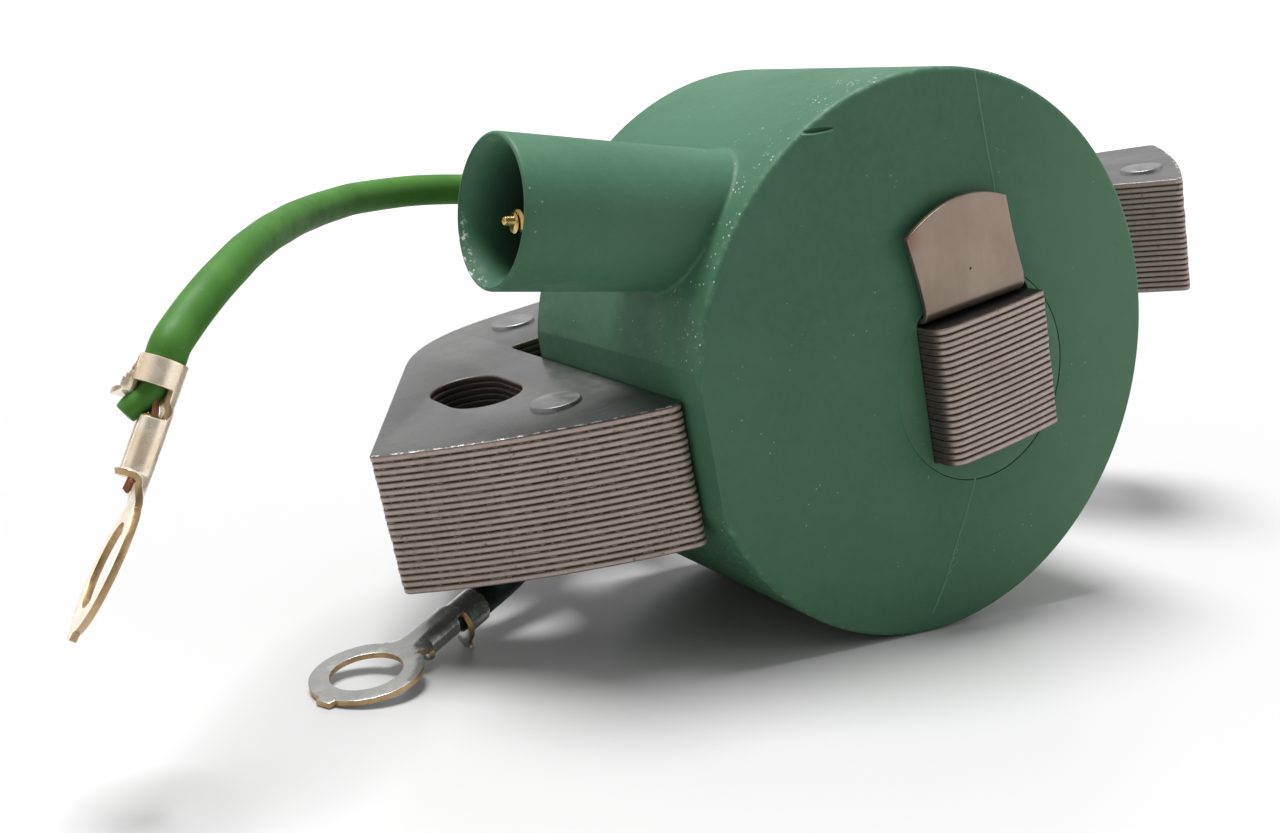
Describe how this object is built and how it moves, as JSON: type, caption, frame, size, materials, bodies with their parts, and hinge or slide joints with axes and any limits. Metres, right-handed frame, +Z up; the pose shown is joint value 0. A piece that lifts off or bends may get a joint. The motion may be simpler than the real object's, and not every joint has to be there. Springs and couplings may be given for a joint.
{
  "type": "flywheel ignition coil",
  "caption": "Moulded green ignition coil with a high-tension tower, on the middle leg of a riveted laminated steel core, with two short leads in ring terminals.",
  "frame": {"origin": "on the bench, under the middle of the coil's own box, leads left out, as the coil lies on its drum", "axes": "+X along the coil's axis out of the front face, +Y towards the right pole, +Z up from the bench; the laminations lean 12.2 degrees about X"},
  "size_m": [0.0522, 0.1356, 0.05],
  "materials": {
    "sheet_steel": "punched electrical sheet, grey-brown oxide on cut edges",
    "rivet_steel": "flat steel rivet heads",
    "strip_steel": "bent sheet strip, satin",
    "moulded_plastic": "moulded, satin, fine grain",
    "bobbin_plastic": "moulded, satin",
    "copper": "bare or enamelled copper wire",
    "winding_paper": "insulating paper",
    "epoxy": "cast resin",
    "brass": "turned brass",
    "tinned_brass": "tin plate over brass, bare brass at the cut edges",
    "green_pvc": "extruded insulation, satin",
    "black_pvc": "extruded insulation, satin"
  },
  "bodies": {
    "root": {"core_lamination_01": "sheet_steel", "core_lamination_02": "sheet_steel", "core_lamination_03": "sheet_steel", "core_lamination_04": "sheet_steel", "core_lamination_05": "sheet_steel", "core_lamination_06": "sheet_steel", "core_lamination_07": "sheet_steel", "core_lamination_08": "sheet_steel", "core_lamination_09": "sheet_steel", "core_lamination_10": "sheet_steel", "core_lamination_11": "sheet_steel", "core_lamination_12": "sheet_steel", "core_lamination_13": "sheet_steel", "core_lamination_14": "sheet_steel", "core_lamination_15": "sheet_steel", "core_lamination_16": "sheet_steel", "core_lamination_17": "sheet_steel", "core_lamination_18": "sheet_steel", "core_lamination_19": "sheet_steel", "core_lamination_20": "sheet_steel", "core_lamination_21": "sheet_steel", "stack_rivet_left_pole": "rivet_steel", "stack_rivet_left_yoke": "rivet_steel", "stack_rivet_right_pole": "rivet_steel", "stack_rivet_right_yoke": "rivet_steel", "retaining_strip": "strip_steel", "coil_case": "moulded_plastic", "bobbin": "bobbin_plastic", "primary_winding": "copper", "secondary_winding": "copper", "ht_link": "copper", "green_lead_conductor": "copper", "black_lead_conductor": "copper", "layer_insulation": "winding_paper", "winding_wrap": "winding_paper", "epoxy_fill": "epoxy", "ht_insert": "brass", "contact_screw": "brass", "green_lead_terminal": "tinned_brass", "black_lead_terminal": "tinned_brass", "green_lead": "green_pvc", "black_lead": "black_pvc"}
  },
  "joints": []
}
